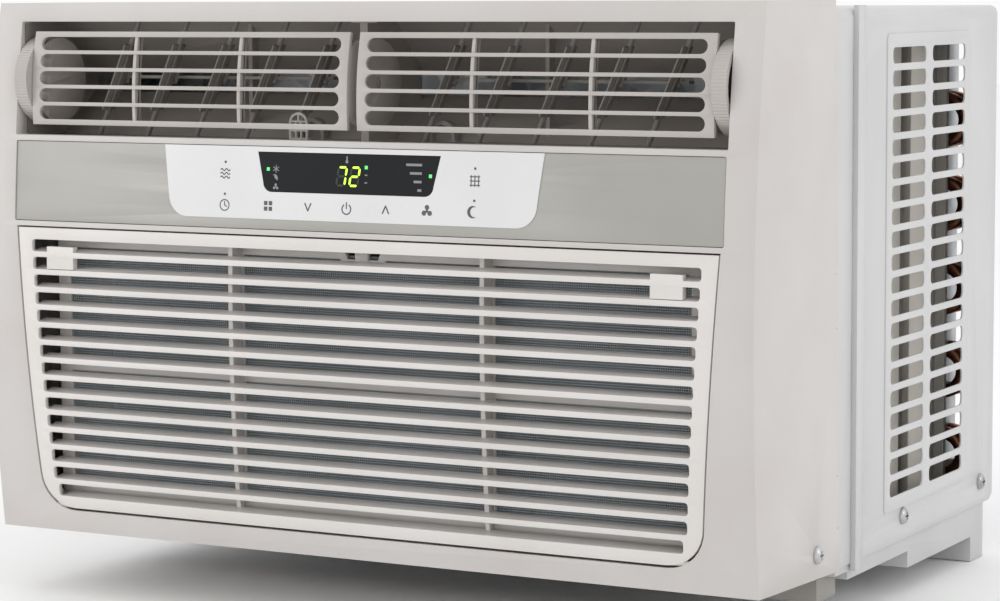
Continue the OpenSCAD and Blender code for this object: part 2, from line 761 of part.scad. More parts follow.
module motor_bracket() color("lightgray") {
    difference() {
        union() {
            along(12, 15) polygon([[fan_x - 52, floor_mid + pan_t], [fan_x + 52, floor_mid + pan_t],
                [fan_x + 40, fan_z + 40], [fan_x - 40, fan_z + 40]]);
            block([fan_x - 52, fan_x + 52], [15 - eps, 40], [floor_mid + pan_t, floor_mid + pan_t + 3]);
        }
        rod_y(fan_x, fan_z, 11, 16, 17.05);
    }
}

module outdoor_fan() color("lightgray") {
    y0 = 112;
    y1 = 138;
    difference() {
        rod_y(fan_x, fan_z, y0, y1, 20);
        rod_y(fan_x, fan_z, y0 - 1, y1 + 1, shaft_r);
    }
    for (i = [0:4]) translate([fan_x, (y0 + y1)/2, fan_z]) rotate([0, i*72, 0]) rotate([62, 0, 0])
        linear_extrude(3, center = true)
            polygon([[17, -9], [17, 9], [70, 24], [slinger_r - 1.5, 20], [slinger_r - 1.5, -20],
                     [70, -24]]);
    difference() {
        rod_y(fan_x, fan_z, y0 + 9, y0 + 17, slinger_r);
        rod_y(fan_x, fan_z, y0 + 8, y0 + 18, slinger_r - 3);
    }
}

module fan_shroud() color("gainsboro") {
    ring = slinger_r + 6;
    guide_z = [30, 322];
    difference() {
        union() {
            along(145, 147) polygon([[-207, 17.6], [210, 17.6], [210, 325], [-207, 325]]);
            // air guide behind the louvres of the right side, on two rails
            block([213.5, 215.5], [2, 68], guide_z);
            block([211, 215.5], [84, 106], guide_z);
            block([209, 215.5], [143, 147], guide_z);
            for (z = [guide_z[0], guide_z[1] - 6]) block([213.5, 215.5], [2, 147], [z, z + 6]);
            rod_y(fan_x, fan_z, 118, 146, ring + 2);
        }
        rod_y(fan_x, fan_z, 117, 148, ring);
    }
}

module bulkhead() color("lightgray") {
    difference() {
        along(bulkhead_y, bulkhead_y + 2) polygon([[-226, 31.6], [226, 31.6], [226, 326], [-226, 326]]);
        rod_y(fan_x, fan_z, bulkhead_y - 1, bulkhead_y + 3, 14);
        // notch for the pipes
        block([-206, -180], [bulkhead_y - 1, bulkhead_y + 3], [185, 262]);
    }
}

module compressor() color("dimgray") {
    z0 = 52;
    h = 172;
    r = compressor_r;
    translate([compressor_at[0], compressor_at[1], z0]) difference() {
        union() {
            rotate_extrude($fn = 64) polygon(concat([[0, 0], [r - 12, 0]], arc(r - 12, 12, 12, 270, 360, 5),
                [[r, h*0.72], [r + 1.5, h*0.72], [r + 1.5, h*0.72 + 6], [r, h*0.72 + 6]],
                arc(r - 18, h - 18, 18, 0, 90, 6), [[0, h]]));
            // mounting plate with three lugs
            for (a = [90, 210, 330]) rotate([0, 0, a]) translate([30, -12, -3]) cube([38, 24, 3 + eps]);
            translate([0, 0, -3]) cylinder(r = 40, h = 3 + eps);
            // terminal cover and discharge stub
            translate([-16, -12, h - 2]) cube([32, 24, 16]);
        }
        for (a = [90, 210, 330]) rotate([0, 0, a]) translate([60, 0, -4]) cylinder(r = 4.5, h = 5);
    }
}

module compressor_feet() color("black") {
    for (a = [90, 210, 330]) {
        p = [compressor_at[0] + 60*cos(a), compressor_at[1] + 60*sin(a)];
        base = p[1] > 46 ? floor_rear + pan_t : floor_mid + pan_t;
        translate([p[0], p[1], base]) cylinder(r = 8, h = 49 - base);
        translate([p[0], p[1], 48]) cylinder(r = 3, h = 12);
        translate([p[0], p[1], 52.02]) cylinder(r = 7, h = 3, $fn = 48);
    }
}

module accumulator() color("dimgray") {
    x = compressor_at[0];
    y = compressor_at[1] + compressor_r + 24;
    translate([x, y, 90]) rotate_extrude($fn = 48)
        polygon(concat([[0, 0]], arc(12, 10, 10, 270, 360, 4), arc(12, 110, 10, 0, 90, 4), [[0, 120]]));
    translate([x, compressor_at[1] + compressor_r + 0.05, 150]) rotate([-90, 0, 0]) cylinder(r = 3, h = 6);
}

// Pipe through a list of points, with a brazed bead at each bend
module pipe(points, r) {
    for (i = [0:len(points) - 2]) {
        a = points[i];
        d = points[i + 1] - a;
        l = norm(d);
        translate(a) rotate([0, acos(d[2]/l), atan2(d[1], d[0])]) cylinder(r = r, h = l, $fn = 24);
    }
    for (i = [1:len(points) - 2]) translate(points[i]) sphere(r = r + 0.4, $fn = 24);
}

module refrigerant_pipes() color("peru") {
    cx = compressor_at[0];
    cy = compressor_at[1];
    // hot gas to the condenser
    pipe([[cx + 30, cy, 224.1], [cx + 30, cy, 262], [-219, 60, 262], [-219, 152, 262]], 3.2);
    // suction line from the evaporator to the accumulator
    pipe([[-172, -138, 214], [-193, -120, 214], [-193, -20, 222], [-212, 60, 240], [cx, 106, 240],
          [cx, 106, 210.5]], 4);
    // capillary from the condenser to the evaporator
    pipe([[-214, 140, 60], [-214, 96, 60], [-214, 0, 150], [-200, -30, 246], [-200, -140, 222],
          [-176, -150, 216]], 1.3);
}

module screws() color("silver") {
    both_sides() for (s = side_screws) {
        x = s[0] < bezel_rear_top ? hw : cab;
        translate([x + 0.05, s[0], s[1]]) rotate([0, 90, 0]) {
            difference() {
                rotate_extrude($fn = 40)
                    polygon(concat([[0, 0], [4.85, 0]], arc(2.35, 0.3, 2.5, 0, 90, 5), [[0, 2.8]]));
                for (a = [0, 90]) rotate([0, 0, a]) translate([-2.4, -0.5, 1.6]) cube([4.8, 1, 2]);
            }
            translate([0, 0, -8]) cylinder(r = 1.85, h = 8 + eps);
        }
    }
}

module cord_gland() color("black") {
    wall_z = bezel_z;
    translate([gland_at[0], gland_at[1], 0]) difference() {
        union() {
            translate([0, 0, wall_z - 7]) cylinder(r1 = 7, r2 = 9.5, h = 4);
            translate([0, 0, wall_z - 3 - eps]) cylinder(r = 7.1, h = 12);
        }
        translate([0, 0, wall_z - 10]) cylinder(r = 4.2, h = 30);
    }
}

// ---- nodes ----

front_bezel();
intake_grille();
filter_frame();
filter_mesh();
control_panel();
control_overlay();
display_window();
led_display();
control_board();
for (k = keys) key(k);
control_box();
mirror([1, 0, 0]) louver_barrel();  // louver_barrel_left
louver_barrel();  // louver_barrel_right
mirror([1, 0, 0]) thumb_wheel();  // thumb_wheel_left
thumb_wheel();  // thumb_wheel_right
for (i = [0:2*vanes - 1]) vane(vane_x(i < vanes ? -1 : 1, i % vanes));
vane_link(-1);  // vane_link_left
vane_link(1);  // vane_link_right
air_duct();
ionizer_guard();
base_pan();
cabinet();
side_rails();
front_sill();
evaporator_fins();
evaporator_tubes();
blower_scroll();
blower_wheel();
motor_shaft();
fan_motor();
motor_bracket();
outdoor_fan();
fan_shroud();
bulkhead();
condenser_fins();
condenser_tubes();
compressor();
compressor_feet();
accumulator();
refrigerant_pipes();
capacitor();
screws();
cord_gland();
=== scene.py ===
import json
import math

import bmesh
import bpy
from mathutils import Euler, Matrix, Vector


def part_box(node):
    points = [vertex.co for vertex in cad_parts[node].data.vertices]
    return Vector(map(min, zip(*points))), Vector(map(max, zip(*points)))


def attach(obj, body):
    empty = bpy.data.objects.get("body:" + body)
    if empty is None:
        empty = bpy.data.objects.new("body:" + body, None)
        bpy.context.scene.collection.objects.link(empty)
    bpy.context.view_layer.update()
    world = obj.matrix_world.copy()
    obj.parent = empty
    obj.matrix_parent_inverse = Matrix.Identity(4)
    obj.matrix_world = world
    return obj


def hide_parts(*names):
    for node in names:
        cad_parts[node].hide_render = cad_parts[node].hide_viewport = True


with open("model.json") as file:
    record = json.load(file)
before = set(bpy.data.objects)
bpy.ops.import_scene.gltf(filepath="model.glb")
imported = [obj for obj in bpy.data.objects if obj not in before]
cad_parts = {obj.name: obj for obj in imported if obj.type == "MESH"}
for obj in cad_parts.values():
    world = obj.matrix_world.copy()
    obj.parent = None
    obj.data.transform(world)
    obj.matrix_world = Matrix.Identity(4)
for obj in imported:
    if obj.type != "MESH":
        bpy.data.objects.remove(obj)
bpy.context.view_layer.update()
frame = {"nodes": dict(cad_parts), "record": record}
nodes = frame["nodes"]
MM = 0.001


# ---------------------------------------------------------------- materials

def linear(hex_colour):
    """An sRGB hex colour as linear RGBA."""
    channels = [int(hex_colour[i:i + 2], 16) / 255 for i in (1, 3, 5)]
    return [c / 12.92 if c <= 0.04045 else ((c + 0.055) / 1.055) ** 2.4 for c in channels] + [1.0]


def add(tree, kind, settings=None, **inputs):
    """Adds a node with its settings, and its inputs as values or as links from other sockets."""
    node = tree.nodes.new("ShaderNode" + kind)
    for key, value in (settings or {}).items():
        setattr(node, key, value)
    for key, value in inputs.items():
        socket = node.inputs[int(key[1:]) if key[1:].isdigit() else key.replace("_", " ")]
        if isinstance(value, bpy.types.NodeSocket):
            tree.links.new(value, socket)
        else:
            socket.default_value = value
    return node


def start(name):
    """A new material with only an output, and where its patterns are measured from."""
    mat = bpy.data.materials.new(name)
    mat.use_nodes = True
    tree = mat.node_tree
    tree.nodes.clear()
    out = tree.nodes.new("ShaderNodeOutputMaterial")
    place = add(tree, "TexCoord").outputs["Object"]
    return mat, tree, out, place


def close(tree, out, shader):
    tree.links.new(shader.outputs[0], out.inputs["Surface"])


def grained(name, light, dark, rough, grain_mm, bump_mm, metal=0.0, ior=1.5, mottle_mm=60,
            spread=0.06, coat=0.0, specular=0.5):
    """A fine even grain with a slow drift of shade over the piece; the roughness follows the grain."""
    mat, tree, out, place = start(name)
    drift = add(tree, "TexNoise", Vector=place, Scale=1 / (mottle_mm * MM), Detail=3.0)
    grain = add(tree, "TexNoise", Vector=place, Scale=1 / (grain_mm * MM), Detail=2.0)
    shade = add(tree, "ValToRGB", Fac=drift.outputs["Fac"])
    shade.color_ramp.elements[0].position, shade.color_ramp.elements[1].position = 0.35, 0.65
    shade.color_ramp.elements[0].color, shade.color_ramp.elements[1].color = linear(dark), linear(light)
    gloss = add(tree, "MapRange", Value=grain.outputs["Fac"], To_Min=rough - spread, To_Max=rough + spread)
    relief = add(tree, "Bump", Height=grain.outputs["Fac"], Distance=bump_mm * MM, Strength=0.6)
    shader = add(tree, "BsdfPrincipled", Base_Color=shade.outputs["Color"],
                 Roughness=gloss.outputs["Result"], Normal=relief.outputs["Normal"],
                 Metallic=metal, IOR=ior, Coat_Weight=coat, Specular_IOR_Level=specular)
    close(tree, out, shader)
    return mat


def spangled(name, light, dark, cell_mm, rough):
    """Galvanised sheet: frost-like crystals, each with its own shade and gloss."""
    mat, tree, out, place = start(name)
    cells = add(tree, "TexVoronoi", Vector=place, Scale=1 / (cell_mm * MM), Randomness=1.0)
    tint = add(tree, "SeparateColor", Color=cells.outputs["Color"])
    shade = add(tree, "ValToRGB", Fac=tint.outputs["Red"])
    shade.color_ramp.elements[0].color, shade.color_ramp.elements[1].color = linear(dark), linear(light)
    gloss = add(tree, "MapRange", Value=tint.outputs["Green"], To_Min=rough - 0.1, To_Max=rough + 0.12)
    relief = add(tree, "Bump", Height=cells.outputs["Distance"], Distance=0.01 * MM, Strength=0.3)
    shader = add(tree, "BsdfPrincipled", Base_Color=shade.outputs["Color"], Roughness=gloss.outputs["Result"],
                 Normal=relief.outputs["Normal"], Metallic=1.0)
    close(tree, out, shader)
    return mat


def drawn(name, light, dark, rough, line_mm, stretch):
    """Drawn or turned metal: fine lines that follow one direction."""
    mat, tree, out, place = start(name)
    along = add(tree, "Mapping", Vector=place, Scale=stretch)
    lines = add(tree, "TexNoise", Vector=along.outputs["Vector"], Scale=1 / (line_mm * MM), Detail=3.0)
    stain = add(tree, "TexNoise", Vector=place, Scale=1 / (18 * MM), Detail=4.0)
    shade = add(tree, "ValToRGB", Fac=stain.outputs["Fac"])
    shade.color_ramp.elements[0].position, shade.color_ramp.elements[1].position = 0.35, 0.6
    shade.color_ramp.elements[0].color, shade.color_ramp.elements[1].color = linear(dark), linear(light)
    gloss = add(tree, "MapRange", Value=lines.outputs["Fac"], To_Min=rough - 0.08, To_Max=rough + 0.1)
    relief = add(tree, "Bump", Height=lines.outputs["Fac"], Distance=0.01 * MM, Strength=0.4)
    shader = add(tree, "BsdfPrincipled", Base_Color=shade.outputs["Color"], Roughness=gloss.outputs["Result"],
                 Normal=relief.outputs["Normal"], Metallic=1.0)
    close(tree, out, shader)
    return mat


def lit(name, colour, glow, grain_mm):
    """A lit segment behind a lens: brighter in the middle of the die than between its grains."""
    mat, tree, out, place = start(name)
    grain = add(tree, "TexNoise", Vector=place, Scale=1 / (grain_mm * MM), Detail=1.0)
    shade = add(tree, "ValToRGB", Fac=grain.outputs["Fac"])
    shade.color_ramp.elements[0].color = [0.6 * c for c in linear(colour)[:3]] + [1.0]
    shade.color_ramp.elements[1].color = linear(colour)
    shader = add(tree, "BsdfPrincipled", Base_Color=shade.outputs["Color"], Roughness=0.4,
                 Emission_Color=shade.outputs["Color"], Emission_Strength=glow)
    close(tree, out, shader)
    return mat


# ABS moulded in a spark-eroded tool: a satin skin with a grain of about half a millimetre
bezel_abs = grained("moulded_abs_warm_white", "#C9C5C2", "#C5C0BD", 0.42, 0.5, 0.02)
# Polystyrene from a polished tool: a little smoother and whiter than the bezel
grille_plastic = grained("moulded_polystyrene_white", "#DCD8D5", "#D7D3CF", 0.36, 0.6, 0.012)
# Silver-grey paint over ABS: flakes give a fine sparkle and a soft sheen
band_paint = grained("sprayed_silver_grey_paint", "#ACAAA5", "#A5A39E", 0.4, 0.35, 0.01, metal=0.3,
                     mottle_mm=90)
# Polyester film printed on its back: even and slightly glossy
overlay_film = grained("printed_polyester_film", "#DEDEDE", "#DADADA", 0.3, 0.8, 0.004, ior=1.57)
# Smoked acrylic with an anti-glare face: nearly black, with only a faint reflection
smoked_acrylic = grained("smoked_acrylic_lens", "#15171A", "#121417", 0.16, 1.5, 0.002, ior=1.49, spread=0.03,
                         specular=0.28)
# Screen-printed ink: flat and slightly rough
printed_ink = grained("screen_printed_grey_ink", "#5E5E5E", "#565656", 0.6, 0.3, 0.004)
# The same ink in a paler grey, read through the smoked lens
pale_ink = grained("screen_printed_pale_ink", "#8D8F91", "#828486", 0.6, 0.3, 0.004)
# Light-emitting segments: bright yellow-green with slightly uneven dies
segment_green = lit("lit_green_segment", "#A8E63A", 2.6, 0.4)
# Small lamps of a cooler and weaker green
dot_green = lit("lit_green_dot", "#57C66A", 1.6, 0.4)
# Unlit segments: dark green-grey, hardly lighter than the lens
segment_off = grained("unlit_segment_tint", "#2B3326", "#272E23", 0.3, 0.5, 0.002)
# Greige ABS: the same tool finish as the bezel in a darker colour
louvre_abs = grained("moulded_abs_greige", "#B8B3AE", "#B0ABA6", 0.4, 0.5, 0.015)
# Duct mouldings in warm grey: matt, as they have no show face
duct_plastic = grained("moulded_polystyrene_warm_grey", "#A39E99", "#98938E", 0.55, 0.7, 0.02)
# Dark grey ABS for the vanes: satin, so that they fade into the duct
vane_plastic = grained("moulded_abs_dark_grey", "#8E8A86", "#827E7A", 0.5, 0.5, 0.015)
# Light grey ABS for small guards and key caps: a plain satin skin
guard_plastic = grained("moulded_abs_light_grey", "#C9C6C2", "#C0BDB9", 0.45, 0.5, 0.015)
# Powder coat on steel: orange peel about a millimetre and a half across
cabinet_coat = grained("powder_coat_white", "#C9C9C9", "#C5C5C5", 0.4, 1.5, 0.03)
# The same powder coat, a little duller, on the sill: its warm grey is painted shade, the shade that falls
# under the bezel painted into its colour
sill_coat_painted_shade = grained("powder_coat_grey_painted_shade", "#9B9792", "#928E89", 0.5, 1.5, 0.03)
# Polypropylene: waxy and soft in its highlights
pan_plastic = grained("moulded_polypropylene_light_grey", "#C6C6C6", "#BFBFBF", 0.48, 0.9, 0.02)
# Ivory polypropylene: the waxy look of the pan in a warmer tone
fan_plastic = grained("moulded_polypropylene_ivory", "#C9C4BC", "#BFBAB2", 0.5, 0.9, 0.02)
# Moulded polystyrene foam: dead matt, with beads of about 2.5 mm
scroll_foam = grained("moulded_polystyrene_foam", "#D9D7D2", "#C9C7C2", 0.85, 2.5, 0.25)
# Woven polypropylene net: matt blue-grey strands
net_strand = grained("woven_polypropylene_strand", "#A4ACB0", "#949CA0", 0.6, 0.6, 0.02)
# Hot-dip galvanised sheet: spangles about 9 mm across, each with its own sheen
galvanised = spangled("hot_dip_galvanised_steel", "#B9BCBD", "#8F9496", 9, 0.42)
# Rolled aluminium fin stock: thin, bright and finely lined from rolling
fin_stock = drawn("rolled_aluminium_fin", "#C6C9CC", "#A9ADB1", 0.38, 0.8, (1, 1, 0.1))
# Drawn copper, tarnished in patches to a darker brown
copper = drawn("drawn_copper_tube", "#A8745A", "#6E4636", 0.34, 0.8, (1, 1, 1))
# Zinc-plated steel: bright and cool, with fine turning lines
zinc_plate = drawn("zinc_plated_steel", "#C9CACC", "#A6A8AB", 0.24, 0.5, (1, 1, 1))
# Deep-drawn aluminium: a soft shine lined along the draw
can_aluminium = drawn("drawn_aluminium_can", "#C2C5C8", "#AEB1B5", 0.3, 0.8, (0.1, 1, 1))
# Varnished steel: dark grey with a dull metallic glint
motor_shell = grained("varnished_steel_shell", "#4A4D52", "#3E4146", 0.38, 1.0, 0.02, metal=0.5)
# Baked black enamel: glossy with a slight orange peel
black_enamel = grained("baked_black_enamel", "#191919", "#121212", 0.28, 1.5, 0.02, coat=0.2)
# Moulded EPDM: nearly black and matt
rubber = grained("moulded_epdm_rubber", "#1B1B1B", "#141414", 0.7, 0.8, 0.03)
# Solder mask over glass cloth: green with the weave faintly through it
solder_mask = grained("green_solder_mask", "#1F5A37", "#174A2C", 0.32, 0.9, 0.02)

# Finish of each material slot, and of the nodes that differ from their slot
FINISH = {
    "bezel_plastic": bezel_abs, "grille_plastic": grille_plastic, "filter_net": net_strand,
    "band_paint": band_paint, "overlay_film": overlay_film, "smoked_lens": smoked_acrylic,
    "circuit_board": solder_mask, "key_plastic": guard_plastic, "louver_plastic": louvre_abs,
    "vane_plastic": vane_plastic, "duct_plastic": duct_plastic, "cabinet_paint": cabinet_coat,
    "pan_plastic": pan_plastic, "sill_steel": sill_coat_painted_shade, "galvanised_steel": galvanised,
    "shroud_plastic": fan_plastic, "coil_fin": fin_stock, "copper_tube": copper,
    "motor_steel": motor_shell, "compressor_paint": black_enamel, "rubber": rubber,
    "plated_steel": zinc_plate, "capacitor_can": can_aluminium,
}
SLOT = {s["node"]: s["material_slot"] for s in frame["record"]["subparts"]}
OWN_FINISH = {"ionizer_guard": guard_plastic, "blower_scroll": scroll_foam}


def body_of(node):
    """The moving body that a CAD node belongs to."""
    return next(b for b, members in frame["record"]["behaviour"]["bodies"].items() if node in members)


def finish_of(node):
    """The node's own finish if it has one, or its slot's."""
    return OWN_FINISH.get(node, FINISH[SLOT[node]])


def dress(obj, mat):
    obj.data.materials.clear()
    obj.data.materials.append(mat)


def piece(name, verts, faces, mat, body, slot):
    """A new mesh piece that rides on a body."""
    mesh = bpy.data.meshes.new(name)
    mesh.from_pydata([tuple(v) for v in verts], [], faces)
    mesh.update()
    obj = bpy.data.objects.new(name, mesh)
    bpy.context.scene.collection.objects.link(obj)
    dress(obj, mat)
    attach(obj, body)
    return obj


# ---------------------------------------------------------------- camera, floor and light

camera = bpy.data.objects.new("camera", bpy.data.cameras.new("camera"))
bpy.context.scene.collection.objects.link(camera)
camera.data.sensor_width = 36
camera.data.lens = 106.15
camera.data.clip_end = 50
camera.location = (0.8119, -1.5079, 0.341)
YAW, PITCH, ROLL = 28.488, -6.017, -0.326
camera.rotation_euler = (Euler((math.radians(90 + PITCH), 0, math.radians(YAW)), "XYZ").to_matrix()
                         @ Euler((0, 0, math.radians(ROLL)), "XYZ").to_matrix()).to_euler()
bpy.context.scene.camera = camera

FLOOR_R = 9.0
FLOOR_DROP = 0.0005
floor_mesh = bpy.data.meshes.new("floor")
floor_bm = bmesh.new()
bmesh.ops.create_circle(floor_bm, cap_ends=True, segments=96, radius=FLOOR_R)
floor_bm.to_mesh(floor_mesh)
floor_bm.free()
floor = bpy.data.objects.new("floor", floor_mesh)
floor.location = (0, 0, -FLOOR_DROP)
bpy.context.scene.collection.objects.link(floor)
dress(floor, grained("pale_studio_floor", "#FBFBFB", "#F8F8F8", 0.8, 4, 0.01, mottle_mm=900))

world = bpy.data.worlds.new("studio")
bpy.context.scene.world = world
world.use_nodes = True
world.node_tree.nodes["Background"].inputs["Color"].default_value = (1, 1, 1, 1)
world.node_tree.nodes["Background"].inputs["Strength"].default_value = 0.97
bpy.context.scene.view_settings.view_transform = "Standard"


def softbox(name, place, aim, size, watts):
    """A rectangular lamp that faces a point."""
    light = bpy.data.lights.new(name, "AREA")
    light.shape = "RECTANGLE"
    light.size, light.size_y = size
    light.energy = watts
    obj = bpy.data.objects.new(name, light)
    obj.location = place
    obj.rotation_euler = (Vector(aim) - Vector(place)).to_track_quat("-Z", "Y").to_euler()
    bpy.context.scene.collection.objects.link(obj)


softbox("side_softbox", (2.6, 0.3, 1.2), (0.2, 0, 0.15), (1.6, 1.6), 9)
softbox("overhead_softbox", (0.0, -0.4, 2.6), (0, 0, 0.2), (2.2, 1.8), 5)
softbox("left_fill", (-0.9, -0.8, 0.4), (-0.2, -0.18, 0.15), (0.6, 0.8), 1.6)


# ---------------------------------------------------------------- mouldings and pressings with rounded edges

def rounded(node, radius_mm, segments=2, angle=28):
    """The node's shape with its sharp edges rounded, as a moulding or folded sheet has."""
    source = nodes[node]
    mesh = source.data.copy()
    bm = bmesh.new()
    bm.from_mesh(mesh)
    bmesh.ops.remove_doubles(bm, verts=bm.verts, dist=0.004 * MM)
    bmesh.ops.dissolve_limit(bm, angle_limit=math.radians(0.6), verts=bm.verts, edges=bm.edges)
    bmesh.ops.recalc_face_normals(bm, faces=bm.faces)
    bm.to_mesh(mesh)
    bm.free()
    for face in mesh.polygons:
        face.use_smooth = True
    obj = bpy.data.objects.new(node + "_moulded", mesh)
    bpy.context.scene.collection.objects.link(obj)
    dress(obj, finish_of(node))
    edge = obj.modifiers.new("edge_radius", "BEVEL")
    edge.width = radius_mm * MM
    edge.segments = segments
    edge.limit_method = "ANGLE"
    edge.angle_limit = math.radians(angle)
    edge.use_clamp_overlap = True
    edge.harden_normals = True
    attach(obj, body_of(node))
    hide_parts(node)
    return obj


ROUNDED = {
    "front_bezel": 0.7, "intake_grille": 0.35, "control_panel": 0.25, "louver_barrel_left": 0.35,
    "louver_barrel_right": 0.35, "cabinet": 0.25, "base_pan": 0.9, "side_rails": 0.25, "front_sill": 0.4,
    "filter_frame": 0.3, "fan_shroud": 0.4, "air_duct": 0.3, "ionizer_guard": 0.15, "fan_motor": 1.5,
    "outdoor_fan": 0.3, "cord_gland": 0.5, "control_box": 0.4, "motor_bracket": 0.3,
}
for node_name, edge_mm in ROUNDED.items():
    rounded(node_name, edge_mm)
for node_name, obj in nodes.items():
    dress(obj, finish_of(node_name))


# ---------------------------------------------------------------- filter net and coils

def boxes(limits):
    """Vertices and faces of many bars, each given by its lowest and highest corner."""
    verts, faces = [], []
    for lo, hi in limits:
        base = len(verts)
        verts += [(x, y, z) for x in (lo[0], hi[0]) for y in (lo[1], hi[1]) for z in (lo[2], hi[2])]
        faces += [tuple(base + i for i in f) for f in
                  ((0, 1, 3, 2), (4, 6, 7, 5), (0, 4, 5, 1), (2, 3, 7, 6), (0, 2, 6, 4), (1, 5, 7, 3))]
    return verts, faces


def net():
    """Filter net: strands 0.5 mm wide at 1.3 mm, uprights behind, cross strands in front."""
    lo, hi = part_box("filter_mesh")
    pitch, half = 1.3 * MM, 0.26 * MM
    mid = (lo.y + hi.y) / 2
    bars = []
    for i in range(int((hi.x - lo.x) / pitch) + 1):
        x = min(lo.x + half + i * pitch, hi.x - half)
        bars.append(((x - half, mid, lo.z), (x + half, hi.y, hi.z)))
    for i in range(int((hi.z - lo.z) / pitch) + 1):
        z = min(lo.z + half + i * pitch, hi.z - half)
        bars.append(((lo.x, lo.y, z - half), (hi.x, mid + 0.08 * MM, z + half)))
    obj = piece("filter_net", *boxes(bars), net_strand, "grille", "filter_net")
    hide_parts("filter_mesh")


net()


# The coils' end plates stand past the fins, and their tubes lie 25 mm apart
PLATE_T, PLATE_PAST_Y, PLATE_PAST_Z = 1.5 * MM, 2 * MM, 3 * MM
FIN_HALF, TUBE_R, TUBE_PITCH, TUBE_INSET = 0.1 * MM, 4 * MM, 25, 7 * MM


def coil(node, name, fin_pitch_mm, first_tube_mm, tubes):
    """A coil: end plates, several hundred thin fins, and the straight tubes that run through them."""
    lo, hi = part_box(node)
    plate = PLATE_T
    y0, y1 = lo.y + PLATE_PAST_Y, hi.y - PLATE_PAST_Y
    z0, z1 = lo.z + PLATE_PAST_Z, hi.z - PLATE_PAST_Z
    bars = [((lo.x, lo.y, lo.z), (lo.x + plate, hi.y, hi.z)),
            ((hi.x - plate, lo.y, lo.z), (hi.x, hi.y, hi.z))]
    count = int((hi.x - lo.x - 2 * plate) / (fin_pitch_mm * MM))
    for i in range(1, count):
        x = lo.x + plate + i * (hi.x - lo.x - 2 * plate) / count
        bars.append(((x - FIN_HALF, y0, z0), (x + FIN_HALF, y1, z1)))
    obj = piece(name, *boxes(bars), fin_stock, "chassis", "coil_fin")
    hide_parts(node)
    verts, faces = [], []
    sides = 12
    ring = [(TUBE_R * math.cos(2 * math.pi / sides * k), TUBE_R * math.sin(2 * math.pi / sides * k))
            for k in range(sides)]
    for y in (y0 + TUBE_INSET, y1 - TUBE_INSET):
        for z in [z0 + (first_tube_mm + TUBE_PITCH * i) * MM for i in range(tubes)]:
            base = len(verts)
            for x in (lo.x + plate, hi.x - plate):
                verts += [(x, y + dy, z + dz) for dy, dz in ring]
            faces += [(base + k, base + (k + 1) % sides, base + sides + (k + 1) % sides, base + sides + k)
                      for k in range(sides)]
    piece(name + "_straight_tubes", verts, faces, copper, "chassis", "copper_tube")


coil("evaporator_fins", "evaporator_coil", 1.7, 9.5, 7)
coil("condenser_fins", "condenser_coil", 1.9, 17.5, 11)


# ---------------------------------------------------------------- printed marks and lit segments

BULGE_Y, BULGE_Z, BULGE_R = -183.5, 162.4, 1000


def front_y(z):
    """Front surface of the unit at height z, in millimetres."""
    return BULGE_Y + (z - BULGE_Z) ** 2 / (2 * BULGE_R)


def mark(name, loops, depth_mm, mat, slot, thick_mm=0.06):
    """Flat marks on the curved front. Loops are closed outlines in (x, z) mm, depth_mm behind the skin."""
    verts, faces = [], []
    for loop in loops:
        base, n = len(verts), len(loop)
        for back in (0, thick_mm):
            verts += [(x * MM, (front_y(z) + depth_mm + back) * MM, z * MM) for x, z in loop]
        faces.append(tuple(base + i for i in range(n)))
        faces.append(tuple(base + n + i for i in reversed(range(n))))
        faces += [(base + i, base + n + i, base + n + (i + 1) % n, base + (i + 1) % n) for i in range(n)]
    obj = piece(name, verts, faces, mat, "chassis", slot)
    bm = bmesh.new()
    bm.from_mesh(obj.data)
    bmesh.ops.recalc_face_normals(bm, faces=bm.faces)
    bm.to_mesh(obj.data)
    bm.free()
    return obj


def stroke(points, width, closed=False):
    """Outline quads of a line of even width through the points."""
    pairs = list(zip(points, points[1:])) + ([(points[-1], points[0])] if closed else [])
    quads = []
    for (x0, z0), (x1, z1) in pairs:
        length = math.hypot(x1 - x0, z1 - z0)
        nx, nz = -(z1 - z0) / length * width / 2, (x1 - x0) / length * width / 2
        ex, ez = (x1 - x0) / length * width * 0.2, (z1 - z0) / length * width * 0.2
        quads.append([(x0 - ex + nx, z0 - ez + nz), (x0 - ex - nx, z0 - ez - nz),
                      (x1 + ex - nx, z1 + ez - nz), (x1 + ex + nx, z1 + ez + nz)])
    return quads


def bow(cx, cz, r, a0, a1, n=14):
    """Points along an arc from angle a0 to a1, in degrees."""
    return [(cx + r * math.cos(math.radians(a0 + (a1 - a0) * i / n)),
             cz + r * math.sin(math.radians(a0 + (a1 - a0) * i / n))) for i in range(n + 1)]


def disc(cx, cz, r, n=16):
    return bow(cx, cz, r, 0, 360 - 360 / n, n - 1)


INK = 0.55
# Where the keys are: the outer columns, the arrows and the two ends of the low row
OUTER_X, ARROW_X, FAN_X = 77, 24, 49
LOW_Z = 226.6


def snowflake(cx, cz, r, w):
    loops = []
    for a in (30, 90, 150):
        dx, dz = r * math.cos(math.radians(a)), r * math.sin(math.radians(a))
        loops += stroke([(cx - dx, cz - dz), (cx + dx, cz + dz)], w)
    return loops


def fan_symbol(cx, cz, r):
    loops = [disc(cx, cz, r * 0.2, 10)]
    for a in (90, 210, 330):
        x, z = cx + 0.58 * r * math.cos(math.radians(a)), cz + 0.58 * r * math.sin(math.radians(a))
        loops.append([(cx, cz)] + bow(x, z, 0.4 * r, a - 140, a + 100, 10))
    return loops


